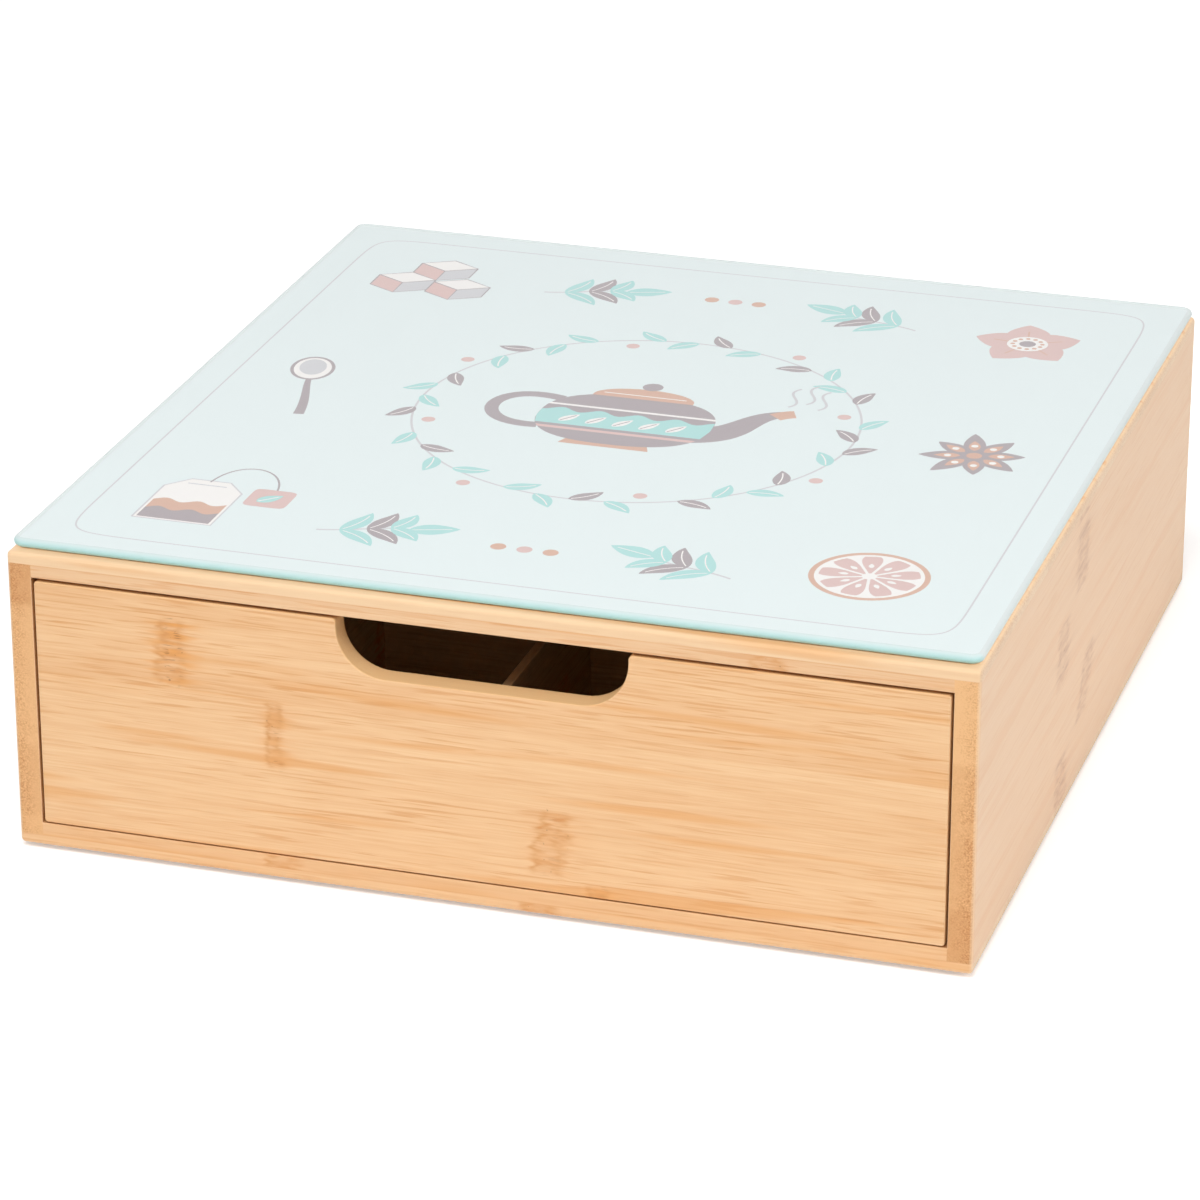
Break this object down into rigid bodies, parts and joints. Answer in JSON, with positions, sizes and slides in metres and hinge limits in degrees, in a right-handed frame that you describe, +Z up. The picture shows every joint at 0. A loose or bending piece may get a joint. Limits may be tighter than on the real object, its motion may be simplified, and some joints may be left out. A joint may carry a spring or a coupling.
{
  "type": "tea bag drawer box",
  "caption": "Low square bamboo box with a full-width drawer of small compartments, a finger cut-out in the drawer front and a printed glass plate on top.",
  "frame": {"origin": "centre of the footprint, on the surface that the feet stand on", "axes": "+X to the right of someone who faces the drawer, +Y from the drawer front to the back, +Z up"},
  "size_m": [0.31, 0.32, 0.1051],
  "materials": {
    "bamboo_case": "light natural bamboo, thin satin lacquer",
    "bamboo_front": "light natural bamboo with brown nodes, thin satin lacquer",
    "bamboo_inner": "light natural bamboo, sanded",
    "glass": "polished clear float glass with a green edge",
    "printed_coat": null,
    "clear_adhesive": "clear silicone",
    "foot_rubber": "matt black anti-slip rubber"
  },
  "bodies": {
    "case": {"case_back": "bamboo_case", "case_bottom": "bamboo_case", "case_left_side": "bamboo_case", "case_right_side": "bamboo_case", "case_top": "bamboo_case", "foot_back_left": "foot_rubber", "foot_back_right": "foot_rubber", "foot_front_left": "foot_rubber", "foot_front_right": "foot_rubber", "glass_pad_back_left": "clear_adhesive", "glass_pad_back_right": "clear_adhesive", "glass_pad_centre": "clear_adhesive", "glass_pad_front_left": "clear_adhesive", "glass_pad_front_right": "clear_adhesive", "glass_print": "printed_coat", "glass_top": "glass"},
    "drawer": {"divider_cross_1": "bamboo_inner", "divider_cross_2": "bamboo_inner", "divider_long_1": "bamboo_inner", "divider_long_2": "bamboo_inner", "divider_long_3": "bamboo_inner", "drawer_back": "bamboo_inner", "drawer_bottom": "bamboo_inner", "drawer_front": "bamboo_front", "drawer_left_side": "bamboo_inner", "drawer_right_side": "bamboo_inner"}
  },
  "joints": [
    {"name": "drawer_slide", "type": "slide", "parent": "case", "child": "drawer", "axis": [0, -1, 0], "range_m": [0, 0.28]}
  ]
}
